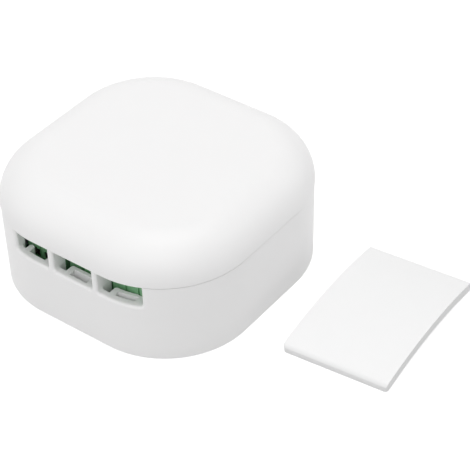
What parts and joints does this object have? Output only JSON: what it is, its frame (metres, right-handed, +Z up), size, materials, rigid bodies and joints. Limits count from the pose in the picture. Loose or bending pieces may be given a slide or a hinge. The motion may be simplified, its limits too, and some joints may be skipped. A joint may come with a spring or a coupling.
{
  "type": "smart switch module",
  "caption": "Rounded square white relay module: lift-off cover, openings with tie loops for cables to green screw terminals, and a loose foam mounting pad.",
  "frame": {"origin": "centre of the case's flat underside", "axes": "+Z up through the cover, -Y out of the cable openings, +X towards the loose foam pad"},
  "size_m": [0.097, 0.062, 0.0297],
  "materials": {
    "shell": "fine satin moulded white ABS",
    "screw_steel": "zinc-plated steel",
    "button_case": "stamped steel over black plastic",
    "button": "black plastic",
    "antenna": "white ceramic",
    "board": "green solder mask over glass-epoxy board",
    "clamp_brass": "nickel-plated brass",
    "chip": "black moulded epoxy",
    "capacitor_sleeve": "dark sleeve over an aluminium can",
    "fuse_resistor": "grey-green lacquer",
    "foam": "white closed-cell foam with adhesive faces",
    "liner": "white siliconed release paper",
    "radio_board": "dark solder mask",
    "shield": "nickel silver, brushed",
    "relay_base": "black moulded plastic with sealing resin",
    "relay_case": "black moulded polyester",
    "tin": "tinned, bright",
    "lamp": "clear resin over a white base",
    "terminal": "semi-gloss green polyamide",
    "bobbin": "black phenolic",
    "ferrite": "dull dark grey ferrite",
    "winding_tape": "yellow polyester tape over copper wire",
    "varistor": "blue epoxy coating"
  },
  "bodies": {
    "case": {"base_shell": "shell", "board_screws": "screw_steel", "button_case": "button_case", "chip_antenna": "antenna", "circuit_board": "board", "control_chip": "chip", "filter_capacitor": "capacitor_sleeve", "fuse_resistor": "fuse_resistor", "output_capacitor": "capacitor_sleeve", "radio_board": "radio_board", "radio_shield": "shield", "relay_base_1": "relay_base", "relay_base_2": "relay_base", "relay_case_1": "relay_case", "relay_case_2": "relay_case", "solder_joints": "tin", "status_lamp": "lamp", "terminal_contacts": "tin", "terminal_housing_1": "terminal", "terminal_housing_2": "terminal", "terminal_housing_3": "terminal", "transformer_bobbin": "bobbin", "transformer_core": "ferrite", "transformer_winding": "winding_tape", "varistor": "varistor"},
    "button": {"button_plunger": "button"},
    "clamp_cage_1_1": {"clamp_cage_1_1": "clamp_brass"},
    "clamp_cage_1_2": {"clamp_cage_1_2": "clamp_brass"},
    "clamp_cage_1_3": {"clamp_cage_1_3": "clamp_brass"},
    "clamp_cage_2_1": {"clamp_cage_2_1": "clamp_brass"},
    "clamp_cage_2_2": {"clamp_cage_2_2": "clamp_brass"},
    "clamp_cage_2_3": {"clamp_cage_2_3": "clamp_brass"},
    "clamp_cage_3_1": {"clamp_cage_3_1": "clamp_brass"},
    "clamp_cage_3_2": {"clamp_cage_3_2": "clamp_brass"},
    "clamp_cage_3_3": {"clamp_cage_3_3": "clamp_brass"},
    "pad": {"pad_foam": "foam", "pad_liner_bottom": "liner", "pad_liner_top": "liner"},
    "terminal_screw_1_1": {"terminal_screw_1_1": "screw_steel"},
    "terminal_screw_1_2": {"terminal_screw_1_2": "screw_steel"},
    "terminal_screw_1_3": {"terminal_screw_1_3": "screw_steel"},
    "terminal_screw_2_1": {"terminal_screw_2_1": "screw_steel"},
    "terminal_screw_2_2": {"terminal_screw_2_2": "screw_steel"},
    "terminal_screw_2_3": {"terminal_screw_2_3": "screw_steel"},
    "terminal_screw_3_1": {"terminal_screw_3_1": "screw_steel"},
    "terminal_screw_3_2": {"terminal_screw_3_2": "screw_steel"},
    "terminal_screw_3_3": {"terminal_screw_3_3": "screw_steel"},
    "cover": {"top_cover": "shell"}
  },
  "joints": [
    {"name": "cover_lift", "type": "slide", "parent": "case", "child": "cover", "axis": [0, 0, 1], "range_m": [0, 0.03]},
    {"name": "pad_lift", "type": "slide", "parent": "case", "child": "pad", "axis": [0, 0, 1], "range_m": [0, 0.03]},
    {"name": "button_press", "type": "slide", "parent": "case", "child": "button", "axis": [0, 0, -1], "range_m": [0, 0.00025], "stiffness_N_per_m": 800, "springref_m": -0.0006},
    {"name": "screw_turn_1_1", "type": "hinge", "parent": "case", "child": "terminal_screw_1_1", "pos_m": [-0.0142, -0.0235, 0.0166], "axis": [0, 0, -1], "range_deg": [0, 1440]},
    {"name": "cage_rise_1_1", "type": "slide", "parent": "case", "child": "clamp_cage_1_1", "axis": [0, 0, 1], "range_m": [0, 0.0016]},
    {"name": "screw_turn_1_2", "type": "hinge", "parent": "case", "child": "terminal_screw_1_2", "pos_m": [-0.0107, -0.0235, 0.0166], "axis": [0, 0, -1], "range_deg": [0, 1440]},
    {"name": "cage_rise_1_2", "type": "slide", "parent": "case", "child": "clamp_cage_1_2", "axis": [0, 0, 1], "range_m": [0, 0.0016]},
    {"name": "screw_turn_1_3", "type": "hinge", "parent": "case", "child": "terminal_screw_1_3", "pos_m": [-0.0072, -0.0235, 0.0166], "axis": [0, 0, -1], "range_deg": [0, 1440]},
    {"name": "cage_rise_1_3", "type": "slide", "parent": "case", "child": "clamp_cage_1_3", "axis": [0, 0, 1], "range_m": [0, 0.0016]},
    {"name": "screw_turn_2_1", "type": "hinge", "parent": "case", "child": "terminal_screw_2_1", "pos_m": [-0.0021, -0.0235, 0.0166], "axis": [0, 0, -1], "range_deg": [0, 1440]},
    {"name": "cage_rise_2_1", "type": "slide", "parent": "case", "child": "clamp_cage_2_1", "axis": [0, 0, 1], "range_m": [0, 0.0016]},
    {"name": "screw_turn_2_2", "type": "hinge", "parent": "case", "child": "terminal_screw_2_2", "pos_m": [0.0014, -0.0235, 0.0166], "axis": [0, 0, -1], "range_deg": [0, 1440]},
    {"name": "cage_rise_2_2", "type": "slide", "parent": "case", "child": "clamp_cage_2_2", "axis": [0, 0, 1], "range_m": [0, 0.0016]},
    {"name": "screw_turn_2_3", "type": "hinge", "parent": "case", "child": "terminal_screw_2_3", "pos_m": [0.0049, -0.0235, 0.0166], "axis": [0, 0, -1], "range_deg": [0, 1440]},
    {"name": "cage_rise_2_3", "type": "slide", "parent": "case", "child": "clamp_cage_2_3", "axis": [0, 0, 1], "range_m": [0, 0.0016]},
    {"name": "screw_turn_3_1", "type": "hinge", "parent": "case", "child": "terminal_screw_3_1", "pos_m": [0.01, -0.0235, 0.0166], "axis": [0, 0, -1], "range_deg": [0, 1440]},
    {"name": "cage_rise_3_1", "type": "slide", "parent": "case", "child": "clamp_cage_3_1", "axis": [0, 0, 1], "range_m": [0, 0.0016]},
    {"name": "screw_turn_3_2", "type": "hinge", "parent": "case", "child": "terminal_screw_3_2", "pos_m": [0.0135, -0.0235, 0.0166], "axis": [0, 0, -1], "range_deg": [0, 1440]},
    {"name": "cage_rise_3_2", "type": "slide", "parent": "case", "child": "clamp_cage_3_2", "axis": [0, 0, 1], "range_m": [0, 0.0016]},
    {"name": "screw_turn_3_3", "type": "hinge", "parent": "case", "child": "terminal_screw_3_3", "pos_m": [0.017, -0.0235, 0.0166], "axis": [0, 0, -1], "range_deg": [0, 1440]},
    {"name": "cage_rise_3_3", "type": "slide", "parent": "case", "child": "clamp_cage_3_3", "axis": [0, 0, 1], "range_m": [0, 0.0016]}
  ],
  "couplings": [
    {"joint": "screw_turn_1_1", "follows": "cage_rise_1_1", "rad_per_m": 15708},
    {"joint": "screw_turn_1_2", "follows": "cage_rise_1_2", "rad_per_m": 15708},
    {"joint": "screw_turn_1_3", "follows": "cage_rise_1_3", "rad_per_m": 15708},
    {"joint": "screw_turn_2_1", "follows": "cage_rise_2_1", "rad_per_m": 15708},
    {"joint": "screw_turn_2_2", "follows": "cage_rise_2_2", "rad_per_m": 15708},
    {"joint": "screw_turn_2_3", "follows": "cage_rise_2_3", "rad_per_m": 15708},
    {"joint": "screw_turn_3_1", "follows": "cage_rise_3_1", "rad_per_m": 15708},
    {"joint": "screw_turn_3_2", "follows": "cage_rise_3_2", "rad_per_m": 15708},
    {"joint": "screw_turn_3_3", "follows": "cage_rise_3_3", "rad_per_m": 15708}
  ]
}
